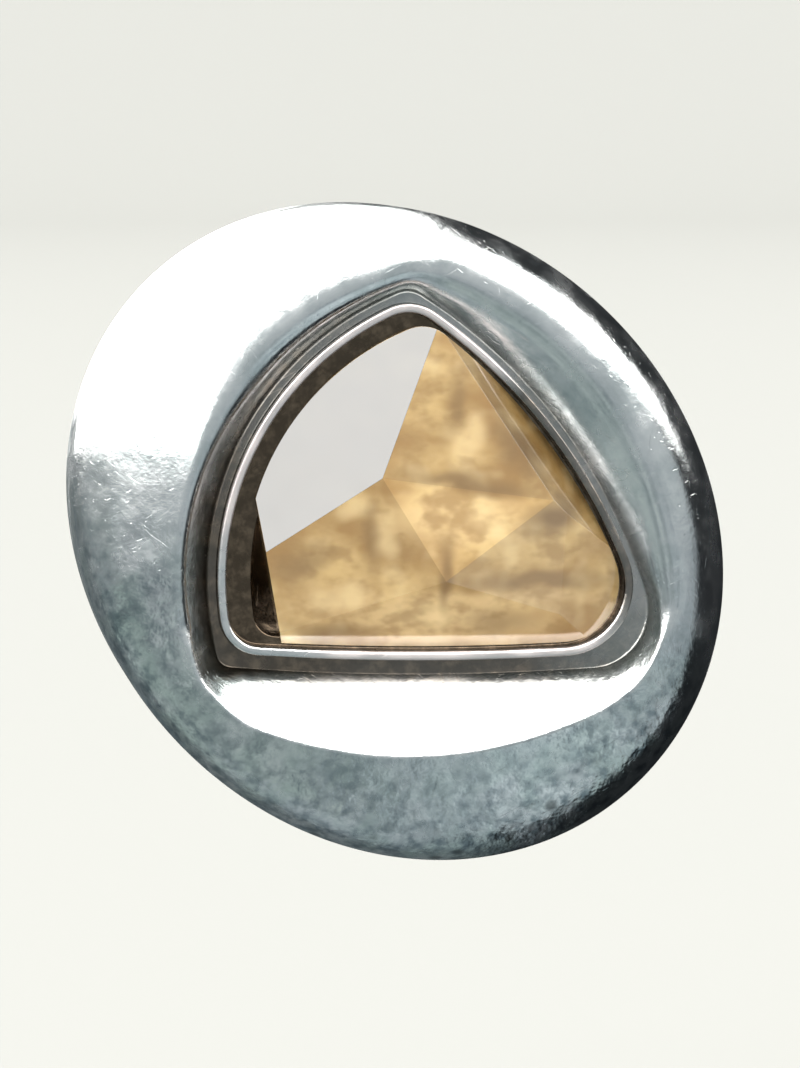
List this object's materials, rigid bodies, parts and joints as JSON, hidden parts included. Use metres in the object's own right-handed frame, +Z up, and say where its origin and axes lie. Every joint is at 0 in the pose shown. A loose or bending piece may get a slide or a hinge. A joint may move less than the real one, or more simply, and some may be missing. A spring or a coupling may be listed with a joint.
{
  "type": "stud earring",
  "caption": "Domed oval stud earring with a three-sided cut stone set in a dished silver face, a straight post and a plain clutch behind the lobe.",
  "frame": {"origin": "middle of the closed back of the setting, where the stud sits on the front of the lobe and its post goes in", "axes": "+Y along the post from the setting towards the clutch, so the face looks along -Y; +Z up the face towards the stone's top corner; +X to the right as the face is seen"},
  "size_m": [0.0066, 0.0129, 0.0066],
  "materials": {
    "silver_face": "polished silver with fine wear marks",
    "honey_stone": "cut and polished honey coloured stone with natural flecks",
    "silver_clutch": "brushed silver"
  },
  "bodies": {
    "root": {"bezel_setting": "silver_face", "stone": "honey_stone", "clutch_back": "silver_clutch"}
  },
  "joints": []
}
